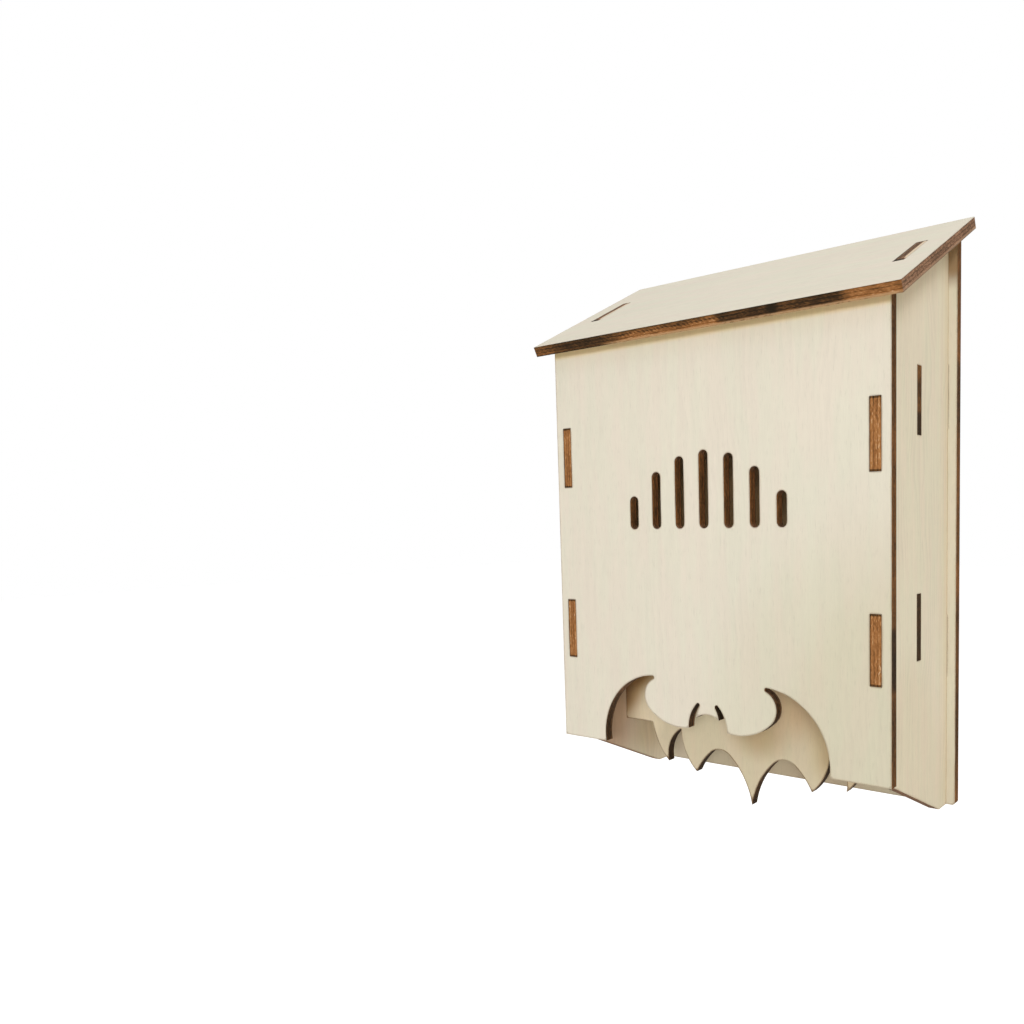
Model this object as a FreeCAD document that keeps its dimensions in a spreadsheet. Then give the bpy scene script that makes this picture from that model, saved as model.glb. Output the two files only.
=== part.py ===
"""Bat box: a wall-hung roost for bats, cut from one thickness of plywood and slotted together.

Six panels make the box: front, back, two sides, roof and an inner partition that leaves two
roosting chambers, open below. The bats' way in is shaped like a bat. Its upper outline is a
notch in the front panel, and its lower outline hangs from the partition behind.

Millimetres. +Z is up and the front faces -Y. The origin lies on the back panel's rear face, on
the centre line, level with the front panel's bottom edge.
"""
import FreeCAD, Part
import math
import os
from types import SimpleNamespace

import Sketcher

doc = FreeCAD.newDocument("bat_box")

# Driving sizes, as alias, number and meaning
DRIVING_SIZES = (
    ("ply", 5, "thickness of every panel"),
    ("panel_width", 180, "front and back panels, side to side"),
    ("side_inset", 4.3, "panel's side edge to the outer face of the side panel"),
    ("chamber_depth", 35, "each of the two chambers, front to back"),
    ("front_height", 200, "front panel's outer face, bottom edge to roof"),
    ("back_drop", 29, "back panel below the front panel, where bats land"),
    ("landing_foot", 10, "level stretch of a side panel's bottom edge, at the back"),
    ("corner_radius", 1.5, "back panel's lower corners and the roof's rear corners"),
    ("roof_pitch", 27, "degrees, falling to the front"),
    ("roof_eave", 6.5, "roof ahead of the front panel, along the slope"),
    ("roof_verge", 7, "roof beyond the panels on each side"),
    ("tab_length", 30, "every tab, along its panel's edge"),
    ("slot_clearance", 0.1, "between a tab and its slot, on each side"),
    ("roof_slot_play", 0.9, "past each end of a tab in the roof"),
    ("seat_gap", 0.1, "square-cut top edges below the sloping roof"),
    ("front_tab_rise", 42, "lower front tab's bottom end above the front panel's bottom edge"),
    ("front_tab_drop", 40, "upper front tab's top end below the roof"),
    ("rear_tab_rise", 34, "lower rear tab's bottom end above the front panel's bottom edge"),
    ("rear_tab_drop", 58.8, "upper rear tab's top end below the roof"),
    ("inner_tab_rise", 47, "partition's lower tab above the front panel's bottom edge"),
    ("inner_tab_drop", 43.4, "partition's upper tab's top end below the roof"),
    ("roof_tab_start", 30.5, "roof tab's front end, along the slope from the front face"),
    ("partition_rise", 2, "partition's level bottom edge above the front panel's"),
    ("passage_gap", 15, "way for bats between the partition and the roof"),
    ("screw_hole", 5, "diameter of the two hanging holes"),
    ("screw_spacing", 100, "between the hanging holes"),
    ("screw_drop", 25, "hanging holes below the back panel's top edge"),
    ("vent_count", 7, "upright slots in the front panel"),
    ("vent_width", 5, "each vent slot"),
    ("vent_pitch", 13.5, "from one vent slot to the next"),
    ("vent_base", 108, "bottom ends of the vent slots"),
    ("vent_height", 36, "middle vent slot"),
    ("vent_fall", 20, "outermost vent slot, shorter than the middle one by this"),
    ("wing_half_span", 62.3, "bat's wings, from the centre line"),
    ("wing_radius", 32.8, "outer edge of a wing, in the front panel"),
    ("hook_x", 32, "wing hook's outer corner"),
    ("hook_z", 36.5, "wing hook's outer corner"),
    ("hook_tip_radius", 1, "rounding of the wing hook"),
    ("hook_inner_x", 31, "wing hook's inner corner"),
    ("hook_inner_z", 34.9, "wing hook's inner corner"),
    ("hook_radius", 9, "round bay inside the hook"),
    ("shoulder_x", 34, "where the bay runs into the shoulder"),
    ("shoulder_z", 20, "where the bay runs into the shoulder"),
    ("shoulder_radius", 26.2, "shoulder, from the bay to the ear"),
    ("ear_base_x", 10.8, "outer foot of an ear"),
    ("ear_base_z", 13.2, "outer foot of an ear"),
    ("ear_outer_radius", 17, "outer side of an ear"),
    ("ear_x", 5.6, "tip of an ear"),
    ("ear_z", 25.7, "tip of an ear"),
    ("ear_tip_radius", 1.1, "rounding of the ear's tip"),
    ("ear_inner_x", 4.3, "inner corner of an ear's tip"),
    ("ear_inner_z", 24.2, "inner corner of an ear's tip"),
    ("ear_inner_radius", 14, "inner side of an ear"),
    ("crown_x", 6.3, "edge of the head between the ears"),
    ("crown_edge_z", 18.6, "edge of the head between the ears"),
    ("crown_z", 20.7, "top of the head"),
    ("crown_radius", 10.5, "top of the head"),
    ("wing_low_radius", 34, "outer edge of a wing, on the partition"),
    ("wing_point_x", 51.8, "outermost point below a wing"),
    ("wing_point_z", -18.3, "outermost point below a wing"),
    ("scallop_radius", 17.4, "narrow scallop beside that point"),
    ("scallop_x", 43.4, "top of the narrow scallop"),
    ("scallop_z", 0.4, "top of the narrow scallop"),
    ("finger_radius", 28.4, "rounded side of the middle point"),
    ("finger_x", 33.7, "middle point below a wing"),
    ("finger_z", -21.5, "middle point below a wing"),
    ("arch_flank_radius", 37, "arch, from the middle point up"),
    ("arch_outer_x", 25, "outer end of the arch's top"),
    ("arch_inner_x", 13, "inner end of the arch's top"),
    ("arch_z", -10, "both ends of the arch's top"),
    ("arch_top_radius", 9, "arch's top"),
    ("tail_radius", 41, "arch, from its top down to the tail"),
    ("tail_z", -33.7, "tail's point"),
)

# How far a tab's or a cut's sketch reaches into or past the panel, so that the two join cleanly
ROOT = 1


class Size:
    """A number together with the sheet formula that gives it."""

    def __init__(self, number, formula):
        self.number = number
        self.formula = formula

    def __neg__(self):
        return Size(-self.number, f"-({self.formula})")

    def __add__(self, other):
        other = as_size(other)
        return Size(self.number + other.number, f"{self.formula} + {other.formula}")

    def __sub__(self, other):
        other = as_size(other)
        return Size(self.number - other.number, f"{self.formula} - ({other.formula})")

    def __mul__(self, other):
        other = as_size(other)
        return Size(self.number * other.number, f"({self.formula}) * ({other.formula})")

    def __truediv__(self, other):
        other = as_size(other)
        return Size(self.number / other.number, f"({self.formula}) / ({other.formula})")


def as_size(value):
    return value if isinstance(value, Size) else Size(value, str(value))


def sine(angle):
    return Size(math.sin(math.radians(angle.number)), f"sin({angle.formula})")


def cosine(angle):
    return Size(math.cos(math.radians(angle.number)), f"cos({angle.formula})")


def tangent(angle):
    return Size(math.tan(math.radians(angle.number)), f"tan({angle.formula})")


def fill_sheet():
    """Write the driving sizes into the sheet and return them by name."""
    sheet = doc.addObject("Spreadsheet::Sheet", "Sizes")
    sizes = SimpleNamespace()
    for row, (alias, number, meaning) in enumerate(DRIVING_SIZES, start=1):
        sheet.set(f"A{row}", alias)
        sheet.set(f"B{row}", str(number))
        sheet.setAlias(f"B{row}", alias)
        sheet.set(f"C{row}", meaning)
        setattr(sizes, alias, Size(number, f"Sizes.{alias}"))
    return sizes


s = fill_sheet()
doc.recompute()

# Faces across the box
side_outer = s.panel_width / 2 - s.side_inset
side_inner = side_outer - s.ply

# Faces from the wall forwards
back_face = -s.ply
partition_rear = back_face - s.chamber_depth
partition_front = partition_rear - s.ply
front_inner = partition_front - s.chamber_depth
front_outer = front_inner - s.ply
rear_face = Size(0, "0")


def roof_underside(y):
    """Height of the roof's underside at a distance y from the wall."""
    return s.front_height + (y - front_outer) * tangent(s.roof_pitch)


def on_slope(along, above):
    """Point in the side view, from distances along the roof's underside and square to it."""
    y = front_outer + along * cosine(s.roof_pitch) - above * sine(s.roof_pitch)
    z = s.front_height + along * sine(s.roof_pitch) + above * cosine(s.roof_pitch)
    return y, z


roof_length = (rear_face - front_outer) / cosine(s.roof_pitch)
back_top = roof_underside(back_face) - s.seat_gap


def tab_starts(rise, drop, y):
    """Bottom ends of the lower and the upper tab at a distance y from the wall."""
    return rise, roof_underside(y) - drop - s.tab_length


front_tabs = tab_starts(s.front_tab_rise, s.front_tab_drop, front_outer)
rear_tabs = tab_starts(s.rear_tab_rise, s.rear_tab_drop, back_face)
inner_tabs = tab_starts(s.inner_tab_rise, s.inner_tab_drop, partition_front)


class Sketch:
    """A sketch on one of a body's own origin planes, with every dimension bound to the sheet."""

    def __init__(self, body, name, plane_role, offset):
        self.body = body
        self.item = body.newObject("Sketcher::SketchObject", name)
        plane = next(f for f in body.Origin.OriginFeatures if f.Role == plane_role)
        self.item.AttachmentSupport = [(plane, "")]
        self.item.MapMode = "FlatFace"
        self.item.setExpression("AttachmentOffset.Base.z", offset.formula)

    def bind(self, kind, *arguments):
        """Add a dimension, whose last argument is a Size."""
        size = arguments[-1]
        index = self.item.addConstraint(Sketcher.Constraint(kind, *arguments[:-1], size.number))
        name = f"dimension_{index}"
        self.item.renameConstraint(index, name)
        self.item.setExpression(f"Constraints.{name}", size.formula)

    def place(self, edge, end, x, z):
        """Hold one end of an edge at a distance from the origin."""
        self.bind("DistanceX", -1, 1, edge, end, x)
        self.bind("DistanceY", -1, 1, edge, end, z)

    def outline(self, steps):
        """Closed outline. Each step is a point, then None for a straight edge to the next point
        or the radius of an arc, positive where the arc turns left and negative where right."""
        corners = [(as_size(x), as_size(z)) for (x, z), radius in steps]
        ends = []
        for index, (_, radius) in enumerate(steps):
            start = vector(corners[index])
            finish = vector(corners[(index + 1) % len(steps)])
            ends.append(self.edge(start, finish, radius))
        for index, (edge, first, last) in enumerate(ends):
            following, following_first, _ = ends[(index + 1) % len(ends)]
            self.item.addConstraint(
                Sketcher.Constraint("Coincident", edge, last, following, following_first))
            self.place(edge, first, *corners[index])

    def edge(self, start, finish, radius):
        """One edge of an outline. Returns its number and which of its ends come first and last."""
        if radius is None:
            return self.item.addGeometry(Part.LineSegment(start, finish)), 1, 2
        turns_left = radius.number > 0
        reach = abs(radius.number)
        chord = finish - start
        across = FreeCAD.Vector(-chord.y, chord.x, 0).normalize() * (1 if turns_left else -1)
        centre = (start + finish) / 2 + across * math.sqrt(reach ** 2 - (chord.Length / 2) ** 2)
        from_angle = direction(start - centre)
        to_angle = direction(finish - centre)
        circle = Part.Circle(centre, FreeCAD.Vector(0, 0, 1), reach)
        size = radius if turns_left else -radius
        if turns_left:
            edge = self.item.addGeometry(Part.ArcOfCircle(circle, from_angle, to_angle))
            self.bind("Radius", edge, size)
            return edge, 1, 2
        edge = self.item.addGeometry(Part.ArcOfCircle(circle, to_angle, from_angle))
        self.bind("Radius", edge, size)
        return edge, 2, 1

    def rectangle(self, left, right, bottom, top):
        self.outline((((left, bottom), None), ((right, bottom), None),
                      ((right, top), None), ((left, top), None)))

    def upright_slot(self, x, bottom, top, width):
        """Slot with half-round ends."""
        radius = width / 2
        low = vector((x, bottom + radius))
        high = vector((x, top - radius))
        beside = FreeCAD.Vector(radius.number, 0, 0)
        up = FreeCAD.Vector(0, 0, 1)
        floor = self.item.addGeometry(
            Part.ArcOfCircle(Part.Circle(low, up, radius.number), math.pi, 2 * math.pi))
        right = self.item.addGeometry(Part.LineSegment(low + beside, high + beside))
        crown = self.item.addGeometry(
            Part.ArcOfCircle(Part.Circle(high, up, radius.number), 0, math.pi))
        left = self.item.addGeometry(Part.LineSegment(high - beside, low - beside))
        for one, other in ((floor, right), (right, crown), (crown, left), (left, floor)):
            self.item.addConstraint(Sketcher.Constraint("Tangent", one, 2, other, 1))
        self.item.addConstraint(Sketcher.Constraint("Equal", floor, crown))
        self.bind("Radius", floor, radius)
        self.place(floor, 3, x, bottom + radius)
        self.place(crown, 3, x, top - radius)

    def round_hole(self, x, z, diameter):
        radius = diameter / 2
        hole = self.item.addGeometry(
            Part.Circle(vector((x, z)), FreeCAD.Vector(0, 0, 1), radius.number))
        self.bind("Radius", hole, radius)
        self.place(hole, 3, x, z)

    def pad(self, name):
        """Raise the sketch by the thickness of the plywood."""
        feature = self.body.newObject("PartDesign::Pad", name)
        feature.Profile = self.item
        feature.setExpression("Length", s.ply.formula)
        self.item.Visibility = False
        return feature

    def cut(self, name):
        """Cut the sketch right through the panel, which lies on the plane's positive side."""
        feature = self.body.newObject("PartDesign::Pocket", name)
        feature.Profile = self.item
        feature.Type = "ThroughAll"
        feature.Reversed = True
        self.item.Visibility = False
        return feature


def vector(point):
    return FreeCAD.Vector(point[0].number, point[1].number, 0)


def direction(offset):
    return math.atan2(offset.y, offset.x)


def new_body(name):
    body = doc.addObject("PartDesign::Body", name)
    body.Label = name
    return body


def mirror(body, feature, name):
    """Repeat a feature on the other side of the centre line."""
    mirrored = body.newObject("PartDesign::Mirrored", name)
    mirrored.Originals = [feature]
    centre_plane = next(f for f in body.Origin.OriginFeatures if f.Role == "YZ_Plane")
    mirrored.MirrorPlane = (centre_plane, [""])
    body.Tip = mirrored
    return mirrored


def side_panel_slots(sketch, starts):
    """Slots for both side panels' tabs, in the front or the back panel."""
    for start in starts:
        bottom = start - s.slot_clearance
        top = start + s.tab_length + s.slot_clearance
        inner = side_inner - s.slot_clearance
        outer = side_outer + s.slot_clearance
        sketch.rectangle(inner, outer, bottom, top)
        sketch.rectangle(-outer, -inner, bottom, top)


def vent_top(place):
    """Top end of a vent slot, where place runs from -1 at the left one to 1 at the right one."""
    return s.vent_base + s.vent_height - s.vent_fall * place ** 2


def make_front_panel():
    body = new_body("front_panel")
    depth = -front_inner
    panel = Sketch(body, "FrontOutline", "XZ_Plane", depth)
    panel.rectangle(-(s.panel_width / 2), s.panel_width / 2, rear_face, s.front_height - s.seat_gap)
    panel.pad("FrontSheet")

    slots = Sketch(body, "FrontSlots", "XZ_Plane", depth)
    side_panel_slots(slots, front_tabs)
    slots.cut("FrontSlotCuts")

    vents = Sketch(body, "Vents", "XZ_Plane", depth)
    outermost = (s.vent_count.number - 1) / 2
    for number in range(s.vent_count.number):
        steps = number - outermost
        vents.upright_slot(s.vent_pitch * steps, s.vent_base, vent_top(steps / outermost), s.vent_width)
    vents.cut("VentCuts")

    notch = Sketch(body, "BatUpperHalf", "XZ_Plane", depth)
    notch.outline((
        ((s.wing_half_span, -ROOT), None),
        ((s.wing_half_span, 0), s.wing_radius),
        ((s.hook_x, s.hook_z), s.hook_tip_radius),
        ((s.hook_inner_x, s.hook_inner_z), -s.hook_radius),
        ((s.shoulder_x, s.shoulder_z), -s.shoulder_radius),
        ((s.ear_base_x, s.ear_base_z), s.ear_outer_radius),
        ((s.ear_x, s.ear_z), s.ear_tip_radius),
        ((s.ear_inner_x, s.ear_inner_z), -s.ear_inner_radius),
        ((s.crown_x, s.crown_edge_z), s.crown_radius),
        ((0, s.crown_z), None),
        ((0, -ROOT), None),
    ))
    half = notch.cut("BatUpperHalfCut")
    mirror(body, half, "BatUpperOtherHalf")
    return body


def make_back_panel():
    body = new_body("back_panel")
    panel = Sketch(body, "BackOutline", "XZ_Plane", rear_face)
    edge = s.panel_width / 2
    bottom = -s.back_drop
    round_left = -(edge - s.corner_radius)
    panel.outline((
        ((round_left, bottom), None),
        ((-round_left, bottom), s.corner_radius),
        ((edge, bottom + s.corner_radius), None),
        ((edge, back_top), None),
        ((-edge, back_top), None),
        ((-edge, bottom + s.corner_radius), s.corner_radius),
    ))
    panel.pad("BackSheet")

    slots = Sketch(body, "BackSlots", "XZ_Plane", rear_face)
    side_panel_slots(slots, rear_tabs)
    slots.cut("BackSlotCuts")

    holes = Sketch(body, "HangingHoles", "XZ_Plane", rear_face)
    for side in (-1, 1):
        holes.round_hole(s.screw_spacing * side / 2, back_top - s.screw_drop, s.screw_hole)
    holes.cut("HangingHoleCuts")
    return body


def make_side_panel(name, offset):
    """Side panel seen from the right, with the front to the left of the sketch."""
    body = new_body(name)
    panel = Sketch(body, "SideOutline", "YZ_Plane", offset)
    bottom = -s.back_drop
    panel.outline((
        ((front_inner, 0), None),
        ((back_face - s.landing_foot, bottom), None),
        ((back_face, bottom), None),
        ((back_face, roof_underside(back_face)), None),
        ((front_inner, roof_underside(front_inner)), None),
    ))
    panel.pad("SideSheet")

    tabs = Sketch(body, "EdgeTabs", "YZ_Plane", offset)
    for start in front_tabs:
        tabs.rectangle(front_outer, front_inner + ROOT, start, start + s.tab_length)
    for start in rear_tabs:
        tabs.rectangle(back_face - ROOT, rear_face, start, start + s.tab_length)
    tabs.pad("EdgeTabPads")

    roof_tab = Sketch(body, "RoofTab", "YZ_Plane", offset)
    tab_end = s.roof_tab_start + s.tab_length
    roof_tab.outline((
        (on_slope(s.roof_tab_start, as_size(-ROOT)), None),
        (on_slope(tab_end, as_size(-ROOT)), None),
        (on_slope(tab_end, s.ply), None),
        (on_slope(s.roof_tab_start, s.ply), None),
    ))
    roof_tab.pad("RoofTabPad")

    slots = Sketch(body, "PartitionSlots", "YZ_Plane", offset)
    for start in inner_tabs:
        slots.rectangle(partition_front - s.slot_clearance, partition_rear + s.slot_clearance,
                        start - s.slot_clearance, start + s.tab_length + s.slot_clearance)
    slots.cut("PartitionSlotCuts")
    return body


def make_partition():
    body = new_body("partition")
    depth = -partition_rear
    top = roof_underside(partition_front) - s.passage_gap
    panel = Sketch(body, "PartitionOutline", "XZ_Plane", depth)
    panel.rectangle(-side_inner, side_inner, s.partition_rise, top)
    panel.pad("PartitionSheet")

    tabs = Sketch(body, "PartitionTabs", "XZ_Plane", depth)
    for start in inner_tabs:
        tabs.rectangle(side_inner - ROOT, side_outer, start, start + s.tab_length)
        tabs.rectangle(-side_outer, -(side_inner - ROOT), start, start + s.tab_length)
    tabs.pad("PartitionTabPads")

    fringe = Sketch(body, "BatLowerHalf", "XZ_Plane", depth)
    fringe.outline((
        ((0, s.partition_rise + ROOT), None),
        ((0, s.tail_z), -s.tail_radius),
        ((s.arch_inner_x, s.arch_z), -s.arch_top_radius),
        ((s.arch_outer_x, s.arch_z), -s.arch_flank_radius),
        ((s.finger_x, s.finger_z), s.finger_radius),
        ((s.scallop_x, s.scallop_z), -s.scallop_radius),
        ((s.wing_point_x, s.wing_point_z), s.wing_low_radius),
        ((s.wing_half_span, s.partition_rise), None),
        ((s.wing_half_span, s.partition_rise + ROOT), None),
    ))
    half = fringe.pad("BatLowerHalfPad")
    mirror(body, half, "BatLowerOtherHalf")
    return body


def make_roof():
    """Roof drawn flat, with its origin where its underside meets the front panel's face."""
    body = new_body("roof")
    panel = Sketch(body, "RoofOutline", "XY_Plane", rear_face)
    edge = s.panel_width / 2 + s.roof_verge
    panel.outline((
        ((-edge, -s.roof_eave), None),
        ((edge, -s.roof_eave), None),
        ((edge, roof_length - s.corner_radius), s.corner_radius),
        ((edge - s.corner_radius, roof_length), None),
        ((-(edge - s.corner_radius), roof_length), s.corner_radius),
        ((-edge, roof_length - s.corner_radius), None),
    ))
    panel.pad("RoofSheet")

    slots = Sketch(body, "RoofSlots", "XY_Plane", rear_face)
    inner = side_inner - s.slot_clearance
    outer = side_outer + s.slot_clearance
    front = s.roof_tab_start - s.roof_slot_play
    rear = s.roof_tab_start + s.tab_length + s.roof_slot_play
    slots.rectangle(inner, outer, front, rear)
    slots.rectangle(-outer, -inner, front, rear)
    slots.cut("RoofSlotCuts")

    body.Placement = FreeCAD.Placement(
        FreeCAD.Vector(0, 0, 0), FreeCAD.Rotation(FreeCAD.Vector(1, 0, 0), s.roof_pitch.number))
    body.setExpression("Placement.Base.y", front_outer.formula)
    body.setExpression("Placement.Base.z", s.front_height.formula)
    body.setExpression("Placement.Rotation.Angle", s.roof_pitch.formula)
    return body


bodies = [
    make_front_panel(),
    make_back_panel(),
    make_side_panel("left_side", -side_outer),
    make_side_panel("right_side", side_inner),
    make_partition(),
    make_roof(),
]
doc.recompute()

for item in doc.Objects:
    if "Invalid" in item.State or "Error" in item.State:
        raise RuntimeError(f"{item.Label} could not be built: {item.State}")
    if item.TypeId == "PartDesign::Pocket" and item.Shape.Volume >= item.BaseFeature.Shape.Volume:
        raise RuntimeError(f"{item.Label} cuts nothing")
for body in bodies:
    if body.Shape.isNull() or not body.Shape.isValid() or len(body.Shape.Solids) != 1:
        raise RuntimeError(f"{body.Label} is not one valid solid")

os.makedirs("parts", exist_ok=True)
for body in bodies:
    body.Shape.exportStep(f"parts/{body.Label}.step")
    box = body.Shape.BoundBox
    print(f"{body.Label}: {box.XLength:.1f} x {box.YLength:.1f} x {box.ZLength:.1f} mm,"
          f" {body.Shape.Volume / 1000:.1f} cm3, bottom at {box.ZMin:.1f} mm")
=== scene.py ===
# %% [markdown]
# A bat box from a flat-pack kit: six sheets of pale plywood, cut by a laser and pushed together
# by tabs and slots. The frame already holds every sheet at its true size, so this lesson is about
# what the eye reads next: the grain of the veneer, the burnt cut edges with their layers, the
# tan stain that the beam leaves beside a cut, and a light that shows all of it plainly.

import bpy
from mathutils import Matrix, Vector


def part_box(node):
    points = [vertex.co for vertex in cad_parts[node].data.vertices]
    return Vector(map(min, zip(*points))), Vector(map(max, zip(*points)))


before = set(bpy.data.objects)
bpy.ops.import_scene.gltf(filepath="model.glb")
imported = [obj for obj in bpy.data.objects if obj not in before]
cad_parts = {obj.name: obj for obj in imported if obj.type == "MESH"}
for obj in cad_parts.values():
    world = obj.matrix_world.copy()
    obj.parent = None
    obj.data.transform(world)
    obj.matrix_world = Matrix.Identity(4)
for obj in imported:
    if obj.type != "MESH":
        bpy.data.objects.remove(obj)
print("sheets:", ", ".join(sorted(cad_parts)))

# %% [markdown]
# A finish mustn't change the size of the box.

# %% Modules, and the scene brought up to date
import math

import bmesh
import bpy
from mathutils import Matrix, Vector

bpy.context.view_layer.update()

# %% [markdown]
# The camera comes first, because every later choice is judged through it. It stands in front of
# the box and to its right, just below the eaves, and looks slightly down. The picture was part of
# a wider one, so its optical centre is off the middle, which a small lens shift gives.

# %% Camera
PICTURE = 1024          # pixels across the square picture
SENSOR = 36.0           # millimetres
FOCAL_PIXELS = 881.07
CENTRE_PIXEL = (655.43, 591.05)
CAMERA_PLACE = (0.22534, -0.42541, 0.11254)
TURN_LEFT = 36.744      # degrees from straight ahead
LOOK_DOWN = 4.637
TILT = -1.267

camera = bpy.data.objects.new("camera", bpy.data.cameras.new("camera"))
bpy.context.scene.collection.objects.link(camera)
camera.data.sensor_width = SENSOR
camera.data.lens = FOCAL_PIXELS / PICTURE * SENSOR
camera.data.shift_x = -(CENTRE_PIXEL[0] - PICTURE / 2) / PICTURE
camera.data.shift_y = (CENTRE_PIXEL[1] - PICTURE / 2) / PICTURE
camera.data.clip_start = 0.01
camera.matrix_world = (
    Matrix.Translation(CAMERA_PLACE)
    @ Matrix.Rotation(math.radians(TURN_LEFT), 4, "Z")
    @ Matrix.Rotation(math.radians(90 - LOOK_DOWN), 4, "X")
    @ Matrix.Rotation(math.radians(TILT), 4, "Z")
)
bpy.context.scene.camera = camera
bpy.context.scene.view_settings.view_transform = "Standard"
print(f"lens {camera.data.lens:.2f} mm, shift {camera.data.shift_x:.3f}, {camera.data.shift_y:.3f}")

# %% [markdown]
# Materials are trees of small nodes. Written out one by one they hide the idea, so a few helpers
# make a node, wire it and set it in one line. A value may be a plain number or another node's
# output, and both are given in the same way.

# %% Helpers that add a node
def node(tree, kind, inputs=None, **settings):
    """Add a node, set its options, and fill its inputs with values or with other outputs."""
    made = tree.nodes.new("ShaderNode" + kind)
    for name, value in settings.items():
        setattr(made, name, value)
    for socket, value in (inputs or {}).items():
        if isinstance(value, bpy.types.NodeSocket):
            tree.links.new(value, made.inputs[socket])
        else:
            made.inputs[socket].default_value = value
    return made


def maths(tree, operation, *values):
    return node(tree, "Math", dict(enumerate(values)), operation=operation).outputs[0]


def vector_maths(tree, operation, *values):
    """The same for vectors. A length and a dot product are plain numbers."""
    made = node(tree, "VectorMath", dict(enumerate(values)), operation=operation)
    return made.outputs["Value" if operation in ("LENGTH", "DOT_PRODUCT") else "Vector"]


print("node, maths and vector_maths are ready")

# %% [markdown]
# Wood is made of soft masks: numbers from 0 to 1 that say where something shows. They rise or fade
# with a soft start and end, and are added up, each with its strength. An effect that is usually
# there would shift the whole sheet, so it is measured from its usual value.

# %% Helpers that shape and add up masks
def ease(tree, value, low, high):
    """0 at low, 1 at high, with a soft start and end."""
    inputs = {"Value": value, "From Min": low, "From Max": high}
    return node(tree, "MapRange", inputs, interpolation_type="SMOOTHSTEP").outputs["Result"]


def fade(tree, value, low, high):
    """1 at low, 0 at high."""
    return maths(tree, "SUBTRACT", 1.0, ease(tree, value, low, high))


def add_up(tree, total, effects):
    """Add effects to a total. Each one is a mask, its strength and its usual value."""
    for mask, strength, usual in effects:
        total = maths(tree, "ADD", total, -strength * usual)
        total = maths(tree, "MULTIPLY_ADD", mask, strength, total)
    return total


print("ease, fade and add_up are ready")

# %% [markdown]
# Colours are picked on screen, from 0 to 255, and turned into the light that a shader works with.
# Two colours are either blended, as paint over wood, or multiplied, as a stain in wood. Streaks are
# noise that is measured with a long ruler along the grain and with a short one across it. What more
# than one material uses goes into a group, with names on its inputs and outputs.

# %% Helpers for colours, noise and groups
def colour(red, green, blue):
    parts = [v / 255 for v in (red, green, blue)]
    linear = [v / 12.92 if v <= 0.04045 else ((v + 0.055) / 1.055) ** 2.4 for v in parts]
    return (*linear, 1.0)


def blend_colours(tree, share, first, second, how="MIX"):
    inputs = {0: share, 6: first, 7: second}       # the Mix node's sockets for colours
    return node(tree, "Mix", inputs, data_type="RGBA", blend_type=how).outputs[2]


def blend_values(tree, share, first, second):
    return node(tree, "Mix", {0: share, 2: first, 3: second}).outputs[0]


def stretched_noise(tree, place, periods, detail=2.0, roughness=0.5):
    """Noise whose blotches measure about the given millimetres along the sheet's three axes."""
    scaled = vector_maths(tree, "MULTIPLY", place, [1 / p for p in periods])
    inputs = {"Vector": scaled, "Scale": 1.0, "Detail": detail, "Roughness": roughness}
    return node(tree, "TexNoise", inputs).outputs["Fac"]


def new_group(name, inputs, outputs):
    """A shader node group with named sockets. Returns its tree, its inputs and its last node."""
    tree = bpy.data.node_groups.new(name, "ShaderNodeTree")
    for label, kind in inputs.items():
        tree.interface.new_socket(label, in_out="INPUT", socket_type="NodeSocket" + kind)
    for label, kind in outputs.items():
        tree.interface.new_socket(label, in_out="OUTPUT", socket_type="NodeSocket" + kind)
    return tree, tree.nodes.new("NodeGroupInput").outputs, tree.nodes.new("NodeGroupOutput")


print("colours are ready; mid grey 128 is", round(colour(128, 128, 128)[0], 3), "as light")

# %% [markdown]
# The veneer is a pale, even wood with a quiet figure, so every part of it is kept faint. Hair-fine
# fibres, short darker pores and long narrow bands run with the grain, which is the sheet's own
# second axis. They are noise stretched along it. Soft mottling in two sizes lies under them.

# %% Veneer group: fibres, pores and mottling
veneer, take, give = new_group(
    "veneer",
    {"Place": "Vector", "Tone": "Color", "Figure": "Float"},
    {"Color": "Color", "Height": "Float"},
)
place, figure = take["Place"], take["Figure"]
fibres = stretched_noise(veneer, place, (0.34, 10, 5), detail=4, roughness=0.65)
pores = ease(veneer, stretched_noise(veneer, place, (0.6, 5.5, 5)), 0.56, 0.72)
bands = maths(veneer, "SUBTRACT", stretched_noise(veneer, place, (2.2, 90, 5)), 0.5)
bands = maths(veneer, "MULTIPLY", bands, figure)
mottle = stretched_noise(veneer, place, (4, 9, 20), detail=3, roughness=0.6)
broad_mottle = stretched_noise(veneer, place, (34, 90, 60))
print("veneer group so far:", len(veneer.nodes), "nodes")

# %% [markdown]
# The figure comes from the growth rings. A sheet is a slice through nested cones, so the rings show
# as arches where the slice runs close to the heart of the log, and as upright lines beside them.
# Working out the distance from that heart gives both at once, and no two sheets look the same,
# because each takes its own place in the log.

# %% Veneer group: growth rings
RING_WIDTH = 3.4        # millimetres between two rings
HEART_OFFSET = 9.0      # the heart of the log, sideways from the sheet's middle
HEART_DEPTH = 16.0      # and behind it
HEART_LEAN = 0.04       # how much deeper it lies with every millimetre up the sheet
SWAY = 26.0             # how far the rings wander sideways

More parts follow.
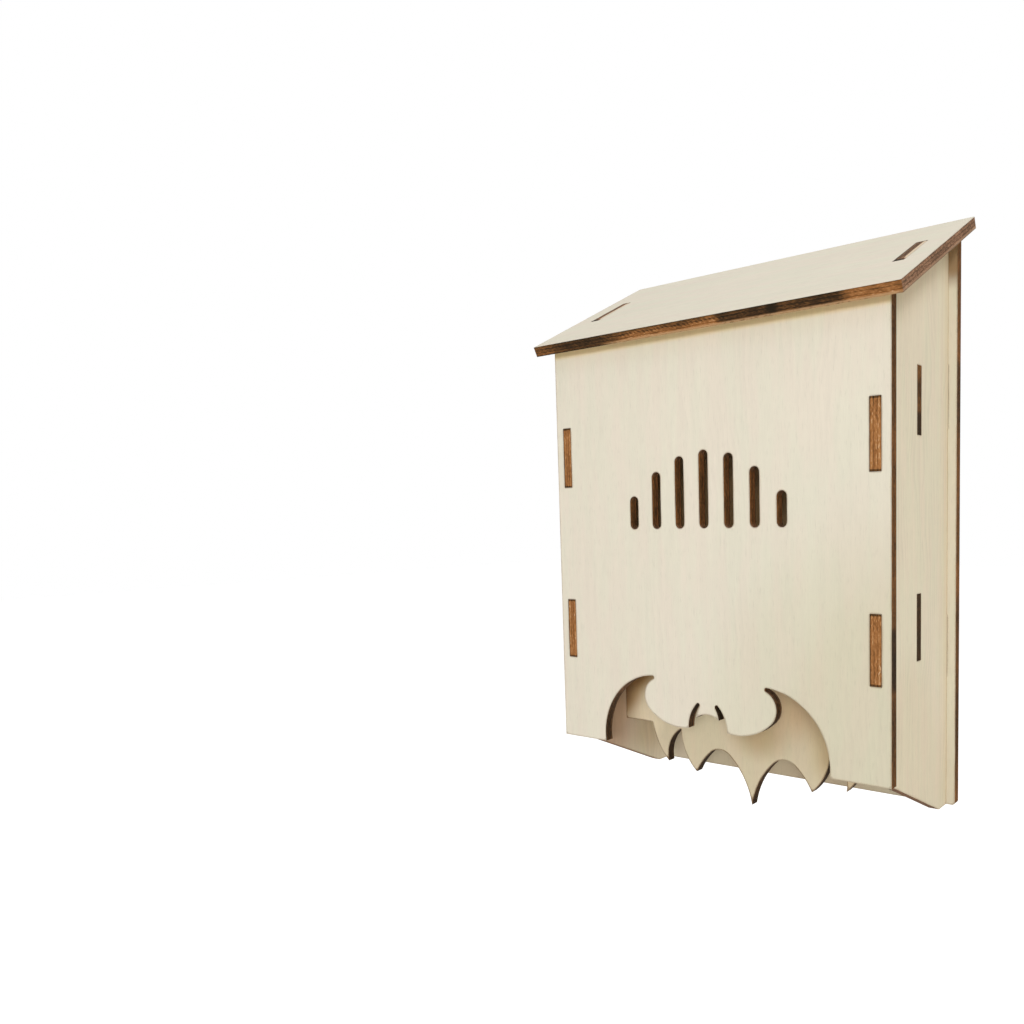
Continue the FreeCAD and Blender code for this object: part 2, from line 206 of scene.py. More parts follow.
where = node(veneer, "SeparateXYZ", {0: place}).outputs
sway = stretched_noise(veneer, place, (26, 70, 60))
aside = maths(veneer, "ADD", where["X"], -SWAY / 2 - HEART_OFFSET)
aside = maths(veneer, "MULTIPLY_ADD", sway, SWAY, aside)
behind = maths(veneer, "MULTIPLY_ADD", where["Y"], HEART_LEAN, HEART_DEPTH)
squares = [maths(veneer, "MULTIPLY", leg, leg) for leg in (aside, behind)]
radius = maths(veneer, "SQRT", maths(veneer, "ADD", *squares))
growth = maths(veneer, "FRACT", maths(veneer, "DIVIDE", radius, RING_WIDTH))
early, late = ease(veneer, growth, 0.2, 0.85), fade(veneer, growth, 0.86, 1.0)
shown_here = ease(veneer, stretched_noise(veneer, place, (22, 60, 60), detail=1), 0.42, 0.62)
rings = maths(veneer, "MULTIPLY", maths(veneer, "MULTIPLY", early, late), shown_here)
rings = maths(veneer, "MULTIPLY", rings, figure)
print("rings every", RING_WIDTH, "mm;", len(veneer.nodes), "nodes so far")

# %% [markdown]
# The parts now come together as one number, the light, which the sheet's tone is multiplied by.
# A slow drift from a pinker to a greener cream keeps the tone from looking like paint. Fibres stand
# a little proud and pores are sunk, which a bump node in the material will show.

# %% Veneer group: colour and relief
FULL_LIGHT = 1.018      # a touch over 1, because pores and rings only darken
PINKISH = (1.010, 0.990, 0.985, 1)
GREENISH = (0.990, 1.006, 0.985, 1)
PORE_DEPTH = 0.8        # as a share of the fibres' height

light = add_up(veneer, FULL_LIGHT, [
    (fibres, 0.10, 0.5),
    (mottle, 0.055, 0.5),
    (broad_mottle, 0.05, 0.5),
    (pores, -0.06, 0.0),
    (bands, 0.06, 0.0),
    (rings, -0.022, 0.0),
])
drift = ease(veneer, stretched_noise(veneer, place, (8, 45, 30)), 0.35, 0.65)
tint = blend_colours(veneer, drift, PINKISH, GREENISH)
tinted = blend_colours(veneer, 1.0, take["Tone"], tint, "MULTIPLY")
grey = node(veneer, "CombineColor", {"Red": light, "Green": light, "Blue": light}).outputs[0]
veneer.links.new(blend_colours(veneer, 1.0, tinted, grey, "MULTIPLY"), give.inputs["Color"])
height = maths(veneer, "MULTIPLY_ADD", pores, -PORE_DEPTH, fibres)
veneer.links.new(height, give.inputs["Height"])
print("veneer group:", len(veneer.nodes), "nodes")

# %% [markdown]
# A laser burns its way through three plies and two films of glue. On a cut wall they run as long
# layers beside each other: pale outer plies, a browner middle one and a thin darker line for each
# film. Both rims are darker as well, a little where the beam goes in and much more where it leaves.
# Depth runs from 0 on one face to 1 on the other, so each layer is a mask on it, and a slow noise
# makes the layers waver.

# %% Cut edge group: plies, glue and rims
WAVER = 0.16            # how far the layers waver, as a share of the thickness
GLUE_PLACE = 0.17       # from the middle of the sheet, as the same share

cut_edge, take, give = new_group(
    "cut_edge",
    {"Place": "Vector", "Sheet": "Float", "Burn": "Float", "Across": "Float", "Teeth": "Float",
     "Lip": "Float"},
    {"Color": "Color", "Height": "Float"},
)
place, across = take["Place"], take["Across"]
where = node(cut_edge, "SeparateXYZ", {0: place}).outputs
depth = maths(cut_edge, "DIVIDE", where["Z"], take["Sheet"])
wander = stretched_noise(cut_edge, place, (11, 11, 200), detail=1)
level = maths(cut_edge, "SUBTRACT", depth, WAVER / 2)
level = maths(cut_edge, "MULTIPLY_ADD", wander, WAVER, level)
from_middle = maths(cut_edge, "ABSOLUTE", maths(cut_edge, "SUBTRACT", level, 0.5))
from_glue = maths(cut_edge, "ABSOLUTE", maths(cut_edge, "SUBTRACT", from_middle, GLUE_PLACE))
outer_plies = ease(cut_edge, from_middle, 0.15, 0.2)
glue = fade(cut_edge, from_glue, 0.015, 0.06)
entry_rim = ease(cut_edge, depth, 0.88, 0.97)
exit_rim = fade(cut_edge, depth, 0.04, 0.13)
print("layers of the cut edge:", len(cut_edge.nodes), "nodes so far")

# %% [markdown]
# Over the layers lie the marks of the burning itself. Soot comes and goes along a cut. Streaks run
# with the sheet and wave a little, so they are noise that is very fine through the thickness, read
# at a place that a second noise has lifted. On end grain, where a wall crosses the grain, the
# streaks break up and a fine mottle takes over, so both are weighed by how a wall lies.

# %% Cut edge group: soot, streaks and mottle
STREAK_WAVE = 2.6       # millimetres


def by_grain(effect, on_end_grain):
    """An effect in full on walls along the grain, and at the given strength across it."""
    strength = maths(cut_edge, "MULTIPLY_ADD", across, on_end_grain - 1.0, 1.0)
    return maths(cut_edge, "MULTIPLY", effect, strength)


soot = ease(cut_edge, stretched_noise(cut_edge, place, (30, 30, 300)), 0.38, 0.62)
wave = stretched_noise(cut_edge, place, (3, 3, 30), detail=1)
lift = node(cut_edge, "CombineXYZ", {"Z": maths(cut_edge, "MULTIPLY", wave, STREAK_WAVE)})
waved = vector_maths(cut_edge, "ADD", place, lift.outputs[0])
streaks = ease(cut_edge, stretched_noise(cut_edge, waved, (6, 6, 0.42), detail=3), 0.3, 0.7)
streaks = by_grain(maths(cut_edge, "SUBTRACT", streaks, 0.5), on_end_grain=0.45)
mottle = ease(cut_edge, stretched_noise(cut_edge, place, (1.4, 1.4, 0.7), detail=3), 0.3, 0.7)
mottle = by_grain(maths(cut_edge, "SUBTRACT", mottle, 0.5), on_end_grain=2.0)
print("marks of the burning:", len(cut_edge.nodes), "nodes so far")

# %% [markdown]
# On the roof's edge the beam's pulses show as well. The char comes down from the upper rim in
# slanted teeth, a little over two millimetres apart, and a pale lip stays along the lower side.
# The teeth are a zigzag along the wall that shifts sideways with depth, and it decides how deep
# the char reaches. Both show only as far as a sheet asks for them.

# %% Cut edge group: teeth and lip
TOOTH = 2.3             # millimetres from one tooth to the next
TOOTH_LEAN = 5.0        # how far a tooth leans sideways over the whole thickness
TOOTH_STRAY = 2.6       # how far the teeth stray from even steps
TOOTH_LENGTH = 0.24     # thicknesses per millimetre of the zigzag
CHAR_USUAL = 0.35       # what the char is measured from

run = blend_values(cut_edge, across, where["Y"], where["X"])
unsteady = stretched_noise(cut_edge, place, (4, 4, 40), detail=1)
slanted = maths(cut_edge, "MULTIPLY_ADD", unsteady, TOOTH_STRAY, run)
slanted = maths(cut_edge, "MULTIPLY_ADD", depth, -TOOTH_LEAN, slanted)
zigzag = maths(cut_edge, "PINGPONG", slanted, TOOTH / 2)
reach = maths(cut_edge, "MULTIPLY_ADD", wander, 0.5, depth)
reach = maths(cut_edge, "MULTIPLY_ADD", zigzag, TOOTH_LENGTH, reach)
char = maths(cut_edge, "SUBTRACT", ease(cut_edge, reach, 0.84, 1.2), CHAR_USUAL)
char = by_grain(maths(cut_edge, "MULTIPLY", char, take["Teeth"]), on_end_grain=0.4)
lip = maths(cut_edge, "MULTIPLY", fade(cut_edge, depth, 0.12, 0.26), take["Lip"])
lip = maths(cut_edge, "MULTIPLY", lip, ease(cut_edge, mottle, -1.1, 0.1))
print("teeth every", TOOTH, "mm;", len(cut_edge.nodes), "nodes so far")

# %% [markdown]
# One value, the burn, says how far a place has gone from toasted to charred. Every mark adds to it
# or takes from it, and a colour ramp turns it into browns at the end. That is simpler than blending
# eight colours, and it can't give a colour that burnt wood doesn't have. End grain chars to a
# greyer brown than a wall along the grain.

# %% Cut edge group: the scale of burn
TOASTED_TO_CHARRED = [
    (0.00, colour(226, 202, 168)), (0.08, colour(202, 160, 116)), (0.20, colour(177, 123, 75)),
    (0.40, colour(142, 94, 53)), (0.60, colour(103, 72, 42)), (0.80, colour(68, 48, 30)),
    (1.00, colour(42, 33, 21)),
]
PALE_LIP = colour(196, 158, 118)
END_GRAIN_GREYING = 0.22
STREAK_HEIGHT = 0.8     # as a share of the char's

burn = add_up(cut_edge, take["Burn"], [
    (soot, 0.11, 0.5),
    (streaks, 0.26, 0.0),
    (mottle, 0.16, 0.0),
    (char, 0.34, 0.0),
    (outer_plies, -0.08, 0.6),
    (glue, 0.20, 0.15),
    (entry_rim, 0.16, 0.1),
    (exit_rim, 0.34, 0.05),
])
scale_of_burn = node(cut_edge, "ValToRGB", {"Fac": burn})
stops = scale_of_burn.color_ramp.elements
stops[0].position, stops[0].color = TOASTED_TO_CHARRED[0]
stops[1].position, stops[1].color = TOASTED_TO_CHARRED[-1]
for position, brown in TOASTED_TO_CHARRED[1:-1]:
    stops.new(position).color = brown
lipped = blend_colours(cut_edge, lip, scale_of_burn.outputs["Color"], PALE_LIP)
greyed = maths(cut_edge, "MULTIPLY_ADD", across, -END_GRAIN_GREYING, 1.0)
greyed = node(cut_edge, "HueSaturation", {"Saturation": greyed, "Color": lipped})
cut_edge.links.new(greyed.outputs["Color"], give.inputs["Color"])
height = maths(cut_edge, "MULTIPLY_ADD", streaks, STREAK_HEIGHT, char)
cut_edge.links.new(height, give.inputs["Height"])
print("cut edge group:", len(cut_edge.nodes), "nodes,", len(stops), "browns")

# %% [markdown]
# Some burns are not left to chance: where the beam slowed there is a black stretch, and smoke and
# painted shade darken parts of the faces. A patch is an oval on the sheet, given by its centre and
# its reach in millimetres and by how much it adds. Its core is the part that is fully on, as a
# share
# of its reach: large for a burn, which has a plain end, and small for the soft patches of painted
# shade and light, which have none.

# %% Patch group
PLY = 5.0               # millimetres, the sheet's thickness
THROUGH = 50.0          # a reach in millimetres that goes well through the sheet
BURN_CORE = 0.7
PAINTED_PATCH_CORE = 0.15

patch, take, give = new_group(
    "patch",
    {"Place": "Vector", "Centre": "Vector", "Reach": "Vector", "Core": "Float"},
    {"Mask": "Float"},
)
offset = vector_maths(patch, "SUBTRACT", take["Place"], take["Centre"])
offset = vector_maths(patch, "DIVIDE", offset, take["Reach"])
distance = vector_maths(patch, "LENGTH", offset)
patch.links.new(fade(patch, distance, take["Core"], 1.0), give.inputs["Mask"])


def patched(tree, place, value, patches, core=BURN_CORE):
    """Add patches to a value. A patch that names no depth goes through the whole sheet."""
    for centre, reach, amount in patches:
        inputs = {"Place": place, "Centre": (*centre, PLY / 2)[:3],
                  "Reach": (*reach, THROUGH)[:3], "Core": core}
        mask = node(tree, "Group", inputs, node_tree=patch).outputs["Mask"]
        value = maths(tree, "MULTIPLY_ADD", mask, amount, value)
    return value


print("patch group:", len(patch.nodes), "nodes")

# %% [markdown]
# Every pattern is laid out in its sheet's own frame: across, along the grain, and out through its
# thickness. A Mapping node of the texture kind turns object coordinates into that frame and into
# millimetres. A wall's normal lies in the sheet and a face's stands square to it, so one dot
# product tells them apart, and another says whether a wall crosses the grain.

# %% A point's place on its sheet
MILLIMETRE = 0.001      # metres
FACE_LEAN = 0.7         # above this, a normal counts as standing square to the sheet


def on_sheet(tree, source, start, attitude):
    """The place in millimetres, how far a wall crosses the grain, and whether this is a face.

    Attitude's columns are the directions across, along the grain and out of the sheet.
    """
    inputs = {"Vector": source["Object"], "Location": start, "Rotation": attitude.to_euler(),
              "Scale": [MILLIMETRE] * 3}
    place = node(tree, "Mapping", inputs, vector_type="TEXTURE").outputs[0]
    along_grain, outwards = [
        maths(tree, "ABSOLUTE", vector_maths(
            tree, "DOT_PRODUCT", source["Normal"], attitude.col[column].to_3d()))
        for column in (1, 2)
    ]
    return place, along_grain, maths(tree, "GREATER_THAN", outwards, FACE_LEAN)


print("one unit of place is", MILLIMETRE, "m, and a sheet is", PLY, "units thick")

# %% [markdown]
# Beside every cut the beam leaves a burnt hairline and a breath of smoke. Rays sent into the wood
# meet a cut wall only close to it, so an inward occlusion node, kept to its own sheet, is a ready
# mask for both. A patchy noise lets both come and go along the cut.

# %% Marks beside a cut
MARK_WIDTH = 1.6 * MILLIMETRE
MARK_RAYS = 8


def beside_a_cut(tree, place):
    """Masks of the burnt hairline and of the breath of smoke around it."""
    near = node(tree, "AmbientOcclusion", {"Distance": MARK_WIDTH},
                samples=MARK_RAYS, inside=True, only_local=True)
    near = maths(tree, "SUBTRACT", 1.0, near.outputs["AO"])
    patchy = stretched_noise(tree, place, (9, 9, 9), detail=1)
    line = maths(tree, "MULTIPLY", ease(tree, near, 0.28, 0.42), ease(tree, patchy, -0.2, 0.7))
    halo = maths(tree, "MULTIPLY", ease(tree, near, 0.0, 0.4), ease(tree, patchy, 0.2, 0.8))
    return line, halo


print("marks reach", round(MARK_WIDTH / MILLIMETRE, 1), "mm from a cut")

# %% [markdown]
# Below the eaves the faces are painted darker: painted shade of the roof, which on the front also
# warms the eaves' band, partly as smoke. That takes only the distance from the plane of the roof's
# underside. The plane starts at the underside's front edge, and the roof's box tells where that is:
# at the box's lowest height, and behind its front by as much as the thickness of the tilted sheet
# reaches forwards.

# %% Distance below the roof
ROOF_PITCH = math.radians(27)
ROOF_OUT = Vector((0, -math.sin(ROOF_PITCH), math.cos(ROOF_PITCH)))

roof_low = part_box("roof")[0]
roof_start = Vector((0, roof_low.y + PLY * MILLIMETRE * math.sin(ROOF_PITCH), roof_low.z))
print("the roof's underside starts at", [round(v / MILLIMETRE, 2) for v in roof_start], "mm")


def below_the_roof(tree, source, full, none):
    """1 down to the first distance below the roof in millimetres, 0 from the second one on."""
    drop = vector_maths(tree, "SUBTRACT", roof_start, source["Object"])
    drop = vector_maths(tree, "DOT_PRODUCT", drop, ROOF_OUT / MILLIMETRE)
    return fade(tree, drop, full, none)


# %% [markdown]
# What colours a face after it was cut is laid over the veneer coat by coat: first smoke together
# with painted shade, then single patches of painted shade and one of painted light, then the
# painted shade below the roof. Each coat multiplies the wood by a tint. A place whose smoke and
# painted shade add up to more than one coat gets a second coat of the same tan, which turns it
# brown. A tint under
# 1 darkens and one over 1 bleaches.

# %% Coats on a face
# tints: smoke and painted shade; the front eaves' painted warm shade with smoke; painted roof shade
SMOKE_AND_SHADE_TAN = (0.80, 0.665, 0.50)
GOLDEN_SMOKE_AND_SHADE = (1.0, 0.87, 0.62)
SHADED = (0.66, 0.56, 0.42)
BOTH_FACES = -1.0       # the depth in millimetres that the roof's shade starts from
FRONT_FACE = PLY / 2


def tint_coat(tree, share, wood, tint):
    """One coat: the wood as it was at a share of 0, and fully tinted at 1."""
    return blend_colours(tree, share, wood, (*tint, 1.0), "MULTIPLY")


def coated(tree, wood, source, place, smoke_and_shade_share, tints, eaves, eaves_from):
    """The wood's colour under smoke, painted patches of shade and light, and painted roof shade."""
    for coats_before in (0, 1):
        wood = tint_coat(tree, maths(tree, "ADD", smoke_and_shade_share, -coats_before), wood, SMOKE_AND_SHADE_TAN)
    for centre, reach, tint in tints:
        spot = patched(tree, place, 0.0, [(centre, reach, 1.0)], core=PAINTED_PATCH_CORE)
        wood = tint_coat(tree, spot, wood, tint)
    depth = node(tree, "SeparateXYZ", {0: place}).outputs["Z"]
    shaded_side = maths(tree, "GREATER_THAN", depth, eaves_from)
    for full, none, tint, amount in eaves:
        dark = maths(tree, "MULTIPLY", below_the_roof(tree, source, full, none), amount)
        wood = tint_coat(tree, maths(tree, "MULTIPLY", dark, shaded_side), wood, tint)
    return wood


print("one coat of smoke leaves", SMOKE_AND_SHADE_TAN, "of the light")

# %% [markdown]
# One material per sheet puts it all together: the veneer with its coats and the burnt hairline on
# the faces, and the cut edge on the walls. A sheet's seed number moves its pattern far along in
# the log, so that no two sheets match. Bare plywood is dull, and burnt wood is duller, so the gloss
# is nearly gone and the roughness is high.

# %% Plywood material
SINGED = colour(112, 82, 54)
HALO_SMOKE = 0.22
LOG_STEP = (61.0, 137.0)        # millimetres across and along the grain
DULL_FACE, DULL_WALL = 0.7, 0.9
GLOSS = 0.12
RELIEF = 0.08 * MILLIMETRE
RELIEF_STRENGTH = 0.35


def plywood(name, start, attitude, tone, burn, seed, teeth=0.0, lip=0.0, hairline=0.5, figure=1.0,
            smoke=(), tints=(), eaves=(), eaves_from=BOTH_FACES, scorches=(), lips=(), jags=()):
    """Scorches, lips and jags are patches of burn, of pale lip and of teeth on the walls."""
    material = bpy.data.materials.new(name)
    material.use_nodes = True
    tree = material.node_tree
    surface = tree.nodes["Principled BSDF"]
    source = node(tree, "TexCoord").outputs
    place, across, is_face = on_sheet(tree, source, start, attitude)
    in_log = vector_maths(tree, "ADD", place, (seed * LOG_STEP[0], seed * LOG_STEP[1], 0))

    inputs = {"Place": in_log, "Tone": tone, "Figure": figure}
    face = node(tree, "Group", inputs, node_tree=veneer).outputs
    line, halo = beside_a_cut(tree, in_log)
    # smoke beside each cut, and patches of painted shade that share its tan
    smoke_and_shade_share = patched(tree, place, maths(tree, "MULTIPLY", halo, HALO_SMOKE), smoke)
    wood = coated(tree, face["Color"], source, place, smoke_and_shade_share, tints, eaves, eaves_from)
    wood = blend_colours(tree, maths(tree, "MULTIPLY", line, hairline), wood, SINGED)

    inputs = {"Place": in_log, "Sheet": PLY, "Across": across,
              "Burn": patched(tree, place, burn, scorches),
              "Teeth": patched(tree, place, teeth, jags),
              "Lip": patched(tree, place, lip, lips)}
    wall = node(tree, "Group", inputs, node_tree=cut_edge).outputs
    tree.links.new(blend_colours(tree, is_face, wall["Color"], wood), surface.inputs["Base Color"])
    dull = blend_values(tree, is_face, DULL_WALL, DULL_FACE)
    tree.links.new(dull, surface.inputs["Roughness"])
    surface.inputs["Specular IOR Level"].default_value = GLOSS
    relief = blend_values(tree, is_face, wall["Height"], face["Height"])
    bump = node(tree, "Bump", {"Height": relief, "Strength": RELIEF_STRENGTH, "Distance": RELIEF})
    tree.links.new(bump.outputs["Normal"], surface.inputs["Normal"])
    return material


print("plywood is ready; the bump stands for", round(RELIEF / MILLIMETRE, 2), "mm")

# %% [markdown]
# Each sheet has its own frame. The front, the back and the partition stand upright and face
# forwards, the sides face sideways, and the roof lies at its pitch. The grain is upright on the
# walls and runs from side to side on the roof, so there the frame is turned by a quarter. A frame
# starts on the face that the thickness is counted from, and an upright one starts level with the
# front panel's bottom edge.

# %% Frames of the six sheets
LOWEST, HIGHEST = 0, 1          # the two corners of a box
X, Y = 0, 1

facing_front = Matrix.Rotation(math.radians(90), 4, "X")
facing_right = Matrix.Rotation(math.radians(90), 4, "Z") @ facing_front
up_the_roof = Matrix.Rotation(ROOF_PITCH, 4, "X")
along_the_roof = up_the_roof @ Matrix.Rotation(math.radians(90), 4, "Z")


def start_of(name, corner, axis):
    """A point on the face of a sheet where its thickness starts, on the box's middle plane."""
    point = Vector((0, 0, 0))
    point[axis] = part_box(name)[corner][axis]
    return point


def finish_sheet(name, start, **finish):
    """Give a sheet its own plywood, laid out from its start."""
    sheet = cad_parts[name]
    sheet.data.materials.clear()
    sheet.data.materials.append(plywood(name + "_plywood", start, **finish))
    print(name, "frame starts at", [round(v / MILLIMETRE, 1) for v in start], "mm")


print("grain of the roof runs along", [round(v, 2) for v in along_the_roof.col[1][:3]])

# %% [markdown]
# The front panel is pale and its edges are dark. The notch is charred all round, the vents are cut
# more cleanly, and the right edge has a black stretch a quarter of the way up. The lower right
# corner is painted darker and greyer, as painted shade, and the eaves' band just below the roof is
# painted golden and darker, partly smoke and partly painted warm shade. Patches are in millimetres:
# to the right of the middle, then up from the panel's bottom edge. A third number is the depth,
# from 0 at the back to 5 at the front.

# %% Front panel
finish_sheet(
    "front_panel", start_of("front_panel", HIGHEST, Y), attitude=facing_front,
    tone=colour(231, 225, 211), burn=0.62, seed=1,
    # painted shade: lower right darker and greyer, the eaves' band warmer and darker
    smoke=[((100, -10), (120, 140), 0.16), ((98, 0), (70, 100), 0.14)],
    tints=[((100, -5), (150, 190), (0.91, 0.95, 0.92))],
    eaves=[(2.9, 5.2, GOLDEN_SMOKE_AND_SHADE, 0.85), (0, 14, SMOKE_AND_SHADE_TAN, 0.14)],
    scorches=[
        ((0, 8), (70, 34), 0.25), ((-61, 12), (9, 30), 0.14),           # the notch, its left wing
        ((0, 119), (55, 30), -0.08),                                    # the vents
        ((90, 53), (5, 15), 0.32),                                      # the black stretch
        ((90, 190), (5, 34), 0.1), ((90, 6), (5, 34), 0.08),            # the ends of the edge
    ],
    lips=[((0, 8), (70, 34), 0.3)],
)

# %% [markdown]
# Of the back panel the picture shows a strip down its right side and its foot. Its edge is nearly
# black in places. Its front face has a thin dark line where each side stands on it. It is painted
# browner and darker, as painted shade, just below the roof, in the two upper corners under it and
# at the foot, where the chambers open.

# %% Back panel
finish_sheet(
    "back_panel", start_of("back_panel", HIGHEST, Y), attitude=facing_front,
    tone=colour(216, 210, 192), burn=0.56, seed=2,
    # painted shade in the upper corners, foot and below the roof; dark joint lines where sides
    # stand
    smoke=[
        ((88, 238, 5), (8, 18, 2), 1.0), ((-88, 238, 5), (8, 18, 2), 1.0),
        ((85.2, 120, 5), (0.8, 900, 2), 0.7), ((-85.2, 120, 5), (0.8, 900, 2), 0.7),
    ],
    tints=[((0, -20, 5), (120, 75, 2), (0.78, 0.70, 0.62))],
    eaves=[(15.5, 23, (0.60, 0.51, 0.47), 1.0)], eaves_from=FRONT_FACE,
    scorches=[((90, 166), (5, 20), 0.2), ((90, 24), (5, 52), 0.14)],
)

# %% [markdown]
# The two sides are one drawing, and they share one finish. They have the strongest figure, and the
# roof's painted shade lies on them in two steps. Their walls are only toasted, but for the shoulder
# in front of the upper tab, the foot, and the corners of the tabs that come through the front
# panel, where the darkening is partly char and partly painted shade of the gaps. The faces are
# painted darker towards the foot and along the back panel, as painted shade. The first number is 0
# at the wall and -85 at the front. The depth runs from left to right, so 5 is the left side's inner
# face and the right side's outer face. The left side's inner face is seen through the notch, and it
# is painted browner and darker there, as painted shade.

# %% Sides
# darker tab corners: partly char, partly painted shade of the gaps in the slots
tab_corner_char_and_shade = [((-85, height), (3, 1.0), 0.36) for height in (42, 72, 130, 160)]
side_finish = dict(
    attitude=facing_right, tone=colour(232, 223, 201), burn=0.36, hairline=0.35, figure=2.4,
    # painted shade towards the foot and along the back panel, and the roof's painted shade
    smoke=[((-60, -30), (60, 90), 0.15), ((-3, 110), (15, 900), 0.1), ((-3, 110), (8, 900), 0.12)],
    eaves=[(0, 24, SHADED, 0.55), (0, 8, SHADED, 0.35)],
    scorches=[
        ((-43, 226, 0), (24, 16, 4.2), 0.22), ((-43, 226, 5), (24, 16, 2.0), -0.6),    # upper tab
        ((-62, 217), (5, 5), 0.5),                                                     # shoulder
        ((-48, -18), (60, 16), 0.14),                                                  # foot
        *tab_corner_char_and_shade,
    ],
)
finish_sheet(
    "left_side", start_of("left_side", LOWEST, X), **side_finish, seed=3,
    # painted shade on the inner face seen through the notch
    tints=[
        ((-58, 5, 5), (36, 44, 2), (0.70, 0.55, 0.50)),
        ((-24, -8, 5), (24, 22, 2), (0.87, 0.80, 0.71)),
    ],
)
finish_sheet("right_side", start_of("right_side", LOWEST, X), **side_finish, seed=4)

# %% [markdown]
# The partition shows through the notch, below it and in the vents. It is a warmer and browner
# sheet. Painted shade darkens it in the left wing of the notch, around the tail and the right wing,
# and over the whole part behind the vents, and painted light makes a paler place lower down. Its
# lower edge, which is the other half of the bat, is charred like the notch. Its tabs end flush in
# the sides, and each end is burnt in its own way.

# %% Partition
finish_sheet(
    "partition", start_of("partition", HIGHEST, Y), attitude=facing_front,
    tone=colour(221, 209, 182), burn=0.62, seed=5, hairline=0.9,
    # painted shade in the left wing and in the right part of the notch
    smoke=[
        ((-92, 28, 5), (29, 29, 2), 0.95), ((-78, 42), (32, 24), 0.7),
        ((75, -10), (30, 60), 0.2),
    ],
    # painted shade, but for one paler place of painted light
    tints=[
        ((-89, 18, 5), (23, 34, 2), (0.38, 0.24, 0.18)),                # in the left wing, outer
        ((-70, 31, 5), (20, 17, 2), (0.66, 0.54, 0.44)),                # and inner
        ((-66, 4, 5), (16, 16, 2), (1.22, 1.23, 1.25)),                 # a paler place below
        ((27, 20, 5), (36, 24, 2), (0.90, 0.78, 0.68)),                 # right of the middle
        ((4, 3, 5), (22, 17, 2), (0.76, 0.67, 0.56)),                   # above the tail
        ((46, 0, 5), (18, 26, 2), (1.0, 0.91, 0.75)),                   # in the right wing
        ((-15, 112, 5), (110, 75, 2), (0.66, 0.50, 0.36)),              # behind the vents
    ],
    scorches=[
        ((86, 149), (4, 9), 0.3), ((86, 166), (4, 7), 0.10),            # the upper right tab
        ((86, 166.5), (4, 3.5), 0.10),
        ((86, 62), (4, 30), 0.25),                                      # the lower right tab
        ((-86, 160), (4, 20), 0.2), ((-86, 62), (4, 30), 0.25),         # the left tabs
        ((10, -14), (100, 50), 0.25),                                   # the lower edge
    ],
)

# %% [markdown]
# The roof's front edge is what the eye meets first. From left to right it has a dark stretch,
# toasted wood with the clearest teeth and a pale lip, and a long black stretch. The walls of its
# slots are burnt too, most of all at their front ends. The first number of a patch goes up the
# slope, and the second to the left.

# %% Roof
finish_sheet(
    "roof", roof_start, attitude=along_the_roof,
    tone=colour(227, 221, 206), burn=0.36, seed=6, teeth=0.3, lip=0.8, hairline=0.25,
    scorches=[
        ((0, 88), (9, 44), 0.22), ((0, 64), (9, 24), 0.22),             # the dark stretch, left
        ((0, 16), (9, 34), 0.11),                                       # the toasted middle
        ((0, -28), (9, 17), 0.5), ((0, -56), (9, 20), 0.42),            # the black stretch, right
        ((46, -97), (60, 6), 0.08),                                     # the right end
        ((52, 83), (26, 8), 0.24), ((52, -83), (26, 8), 0.24),          # the slots
        ((37, 83), (5, 8), 0.4), ((37, -83), (5, 8), 0.4),              # and their front ends
    ],
    lips=[((0, 88), (9, 46), -0.8), ((46, -97), (60, 6), -0.4)],
    jags=[((0, 12), (9, 34), 0.7)],
)

# %% [markdown]
# The room is only a pale floor, a white surround and soft lamps. The box hangs, so the floor lies
# well below it. A floor that is white to the camera would throw too much cool light up at the box.
# So it has two colours: light that bounces off it meets a warmer one, and to the camera it is a
# light grey with a little glow of its own, which reads as white and still shows the shadow.

# %% Floor
FLOOR_LEVEL = -0.28
FLOOR_SIZE = 12.0
FLOOR_BOUNCE = (0.73, 0.70, 0.65, 1)
FLOOR_SEEN = (0.7, 0.7, 0.7, 1)
FLOOR_GLOW = 0.62

shape = bmesh.new()
bmesh.ops.create_grid(shape, x_segments=1, y_segments=1, size=FLOOR_SIZE / 2)
bmesh.ops.translate(shape, verts=shape.verts, vec=(0, 0, FLOOR_LEVEL))
floor_mesh = bpy.data.meshes.new("floor")
shape.to_mesh(floor_mesh)
shape.free()
floor = bpy.data.objects.new("floor", floor_mesh)
bpy.context.scene.collection.objects.link(floor)


def seen_directly(tree):
    """1 for what the camera sees, straight or in a gloss or through glass, else 0."""
    ways = node(tree, "LightPath").outputs
    shiny = maths(tree, "MAXIMUM", ways["Is Glossy Ray"], ways["Is Transmission Ray"])
    return maths(tree, "MAXIMUM", ways["Is Camera Ray"], shiny)


paint = bpy.data.materials.new("floor_white")
paint.use_nodes = True
tree = paint.node_tree
surface = tree.nodes["Principled BSDF"]
surface.inputs["Roughness"].default_value = DULL_WALL
surface.inputs["Emission Color"].default_value = (1, 1, 1, 1)
direct = seen_directly(tree)
seen = blend_colours(tree, direct, FLOOR_BOUNCE, FLOOR_SEEN)
tree.links.new(seen, surface.inputs["Base Color"])
tree.links.new(maths(tree, "MULTIPLY", direct, FLOOR_GLOW), surface.inputs["Emission Strength"])
floor.data.materials.append(paint)
print("floor at", FLOOR_LEVEL, "m")

# %% [markdown]
# The surround gives even daylight from all sides, slightly warm and about half as strong as white.
# To the camera it is pure white, so the background is clean without any more light on the box.

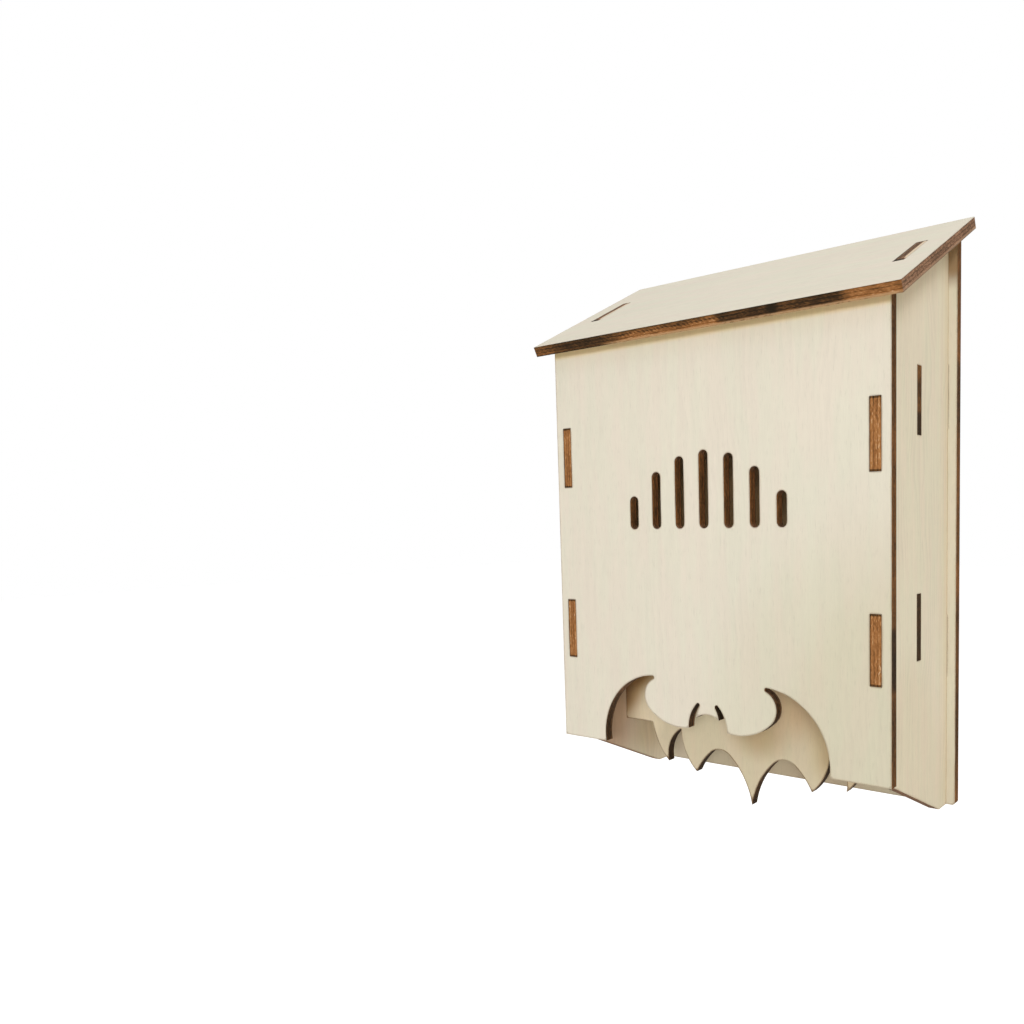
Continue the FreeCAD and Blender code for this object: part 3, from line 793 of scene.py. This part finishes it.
# %% Surround
DAYLIGHT = 0.52
DAYLIGHT_TINT = (1.0, 0.975, 0.94, 1)
WHITE = (1, 1, 1, 1)

world = bpy.data.worlds.new("surround")
bpy.context.scene.world = world
world.use_nodes = True
tree = world.node_tree
sky = tree.nodes["Background"]
direct = seen_directly(tree)
tree.links.new(blend_colours(tree, direct, DAYLIGHT_TINT, WHITE), sky.inputs["Color"])
tree.links.new(blend_values(tree, direct, DAYLIGHT, 1.0), sky.inputs["Strength"])
print("daylight at", DAYLIGHT, "of white")

# %% [markdown]
# The real box is lit almost from where it is seen, which is why its cut-outs look so open and only
# the eaves throw a narrow, crisp shadow. So the key lamp stands to the right, near the camera's
# bearing, only ten degrees above the box, and it is small for its distance. A large lamp fills the
# right side, one overhead models the roof and shades the sides below it, and one behind keeps the
# back readable.

# %% Lamps
MIDDLE = Vector((0, -0.045, 0.1))
SOFT_WARM = (1.0, 0.99, 0.965)
NEARLY_WHITE = (1.0, 1.0, 0.99)
PLAIN_WHITE = (1.0, 1.0, 1.0)


def softbox(name, bearing, height, distance, size, watts, tint):
    """A square lamp aimed at the box: bearing and height in degrees, distance and size in metres.

    A bearing of 0 is straight in front of the box, and one of 90 is on its right.
    """
    lamp = bpy.data.objects.new(name, bpy.data.lights.new(name, "AREA"))
    bpy.context.scene.collection.objects.link(lamp)
    lamp.data.size = size
    lamp.data.energy = watts
    lamp.data.color = tint
    turn, rise = math.radians(bearing), math.radians(height)
    level = math.cos(rise)
    away = Vector((math.sin(turn) * level, -math.cos(turn) * level, math.sin(rise)))
    lamp.location = MIDDLE + away * distance
    lamp.rotation_euler = (-away).to_track_quat("-Z", "Y").to_euler()


softbox("key", bearing=30, height=10, distance=2.6, size=0.56, watts=26.0, tint=SOFT_WARM)
softbox("fill", bearing=72, height=14, distance=1.8, size=1.0, watts=3.0, tint=SOFT_WARM)
softbox("overhead", bearing=10, height=70, distance=1.0, size=0.5, watts=1.4, tint=NEARLY_WHITE)
softbox("behind", bearing=205, height=25, distance=1.4, size=0.8, watts=3.6, tint=PLAIN_WHITE)
